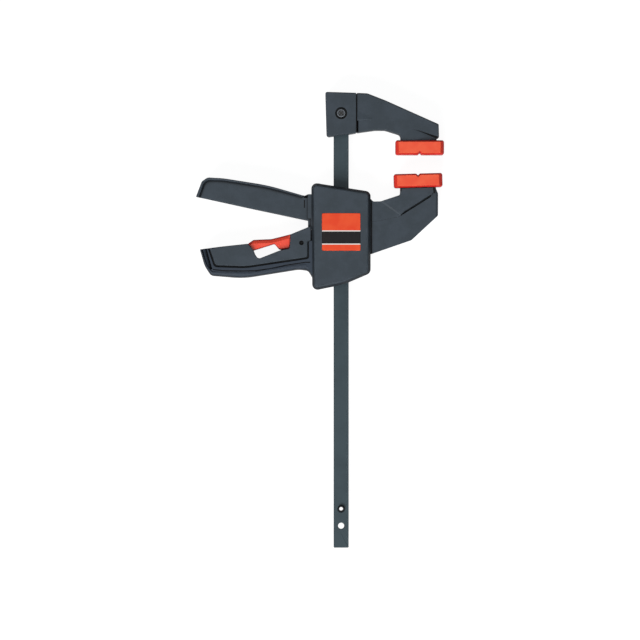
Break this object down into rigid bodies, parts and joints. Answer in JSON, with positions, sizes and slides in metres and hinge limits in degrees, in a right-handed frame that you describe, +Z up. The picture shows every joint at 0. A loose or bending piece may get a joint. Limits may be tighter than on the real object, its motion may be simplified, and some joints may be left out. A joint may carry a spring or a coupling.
{
  "type": "quick release bar clamp",
  "caption": "One-hand bar clamp: fixed jaw on a flat bar, sliding jaw with pump lever, fixed handle and red quick release lever, soft jaw pads.",
  "frame": {"origin": "middle of the clamp's bounding box, on the plane of the rear cover's face that it lies on", "axes": "+X from the bar to the jaw pads, +Y along the bar towards the fixed jaw, +Z up out of the front cover"},
  "size_m": [0.1562, 0.287, 0.026],
  "materials": {
    "bar_steel": "dark blued steel, fine drawn grain",
    "pin_steel": "dark oiled steel",
    "screw_steel": "zinc plated",
    "plate_steel": "hardened, tumbled",
    "spring_steel": "spring wire",
    "charcoal_plastic": "glass filled, fine moulded grain",
    "soft_grip": "soft touch",
    "guide_plastic": "natural acetal",
    "pad_red": "soft, satin",
    "lever_red": "satin",
    "label_red": "smooth, bare"
  },
  "bodies": {
    "bar_and_fixed_jaw": {"bar": "bar_steel", "stop_pin": "pin_steel", "fixed_jaw": "charcoal_plastic", "fixed_jaw_screw": "screw_steel", "fixed_jaw_nut": "screw_steel", "fixed_pad": "pad_red"},
    "sliding_jaw": {"front_shell": "charcoal_plastic", "rear_shell": "charcoal_plastic", "front_cover": "charcoal_plastic", "rear_cover": "charcoal_plastic", "label_plate": "label_red", "palm_grip": "soft_grip", "moving_pad": "pad_red", "upper_guide": "guide_plastic", "lower_guide": "guide_plastic", "lever_pin": "pin_steel", "brake_fulcrum_pin": "pin_steel", "release_pin": "pin_steel", "housing_screws": "screw_steel", "drive_spring": "spring_steel", "brake_spring": "spring_steel"},
    "lever": {"pump_lever": "charcoal_plastic"},
    "drive_plates": {"drive_plate_1": "plate_steel", "drive_plate_2": "plate_steel"},
    "release": {"release_lever": "lever_red"},
    "brake": {"brake_plate": "plate_steel"}
  },
  "joints": [
    {"name": "jaw_slide", "type": "slide", "parent": "bar_and_fixed_jaw", "child": "sliding_jaw", "axis": [0, 1, 0], "range_m": [-0.1365, 0.0112]},
    {"name": "pump_lever", "type": "hinge", "parent": "sliding_jaw", "child": "lever", "pos_m": [0.00432, 0.07347, 0.013], "axis": [0, 0, 1], "range_deg": [0, 19.48], "stiffness_Nm_per_rad": 0.4, "springref_deg": -20.05},
    {"name": "drive_stroke", "type": "slide", "parent": "sliding_jaw", "child": "drive_plates", "axis": [0, -1, 0], "range_m": [0, 0.0019], "deforming": ["drive_spring"]},
    {"name": "release_lever", "type": "hinge", "parent": "sliding_jaw", "child": "release", "pos_m": [-0.01168, 0.04857, 0.013], "axis": [0, 0, 1], "range_deg": [0, 5.73], "stiffness_Nm_per_rad": 0.15, "springref_deg": -17.19},
    {"name": "brake_tilt", "type": "hinge", "parent": "sliding_jaw", "child": "brake", "pos_m": [0.00612, 0.04697, 0.013], "axis": [0, 0, 1], "range_deg": [-8.05, 0], "deforming": ["brake_spring"]}
  ],
  "couplings": [
    {"joint": "drive_stroke", "follows": "pump_lever", "m_per_rad": 0.0055},
    {"joint": "brake_tilt", "follows": "release_lever", "ratio": -1.4}
  ]
}
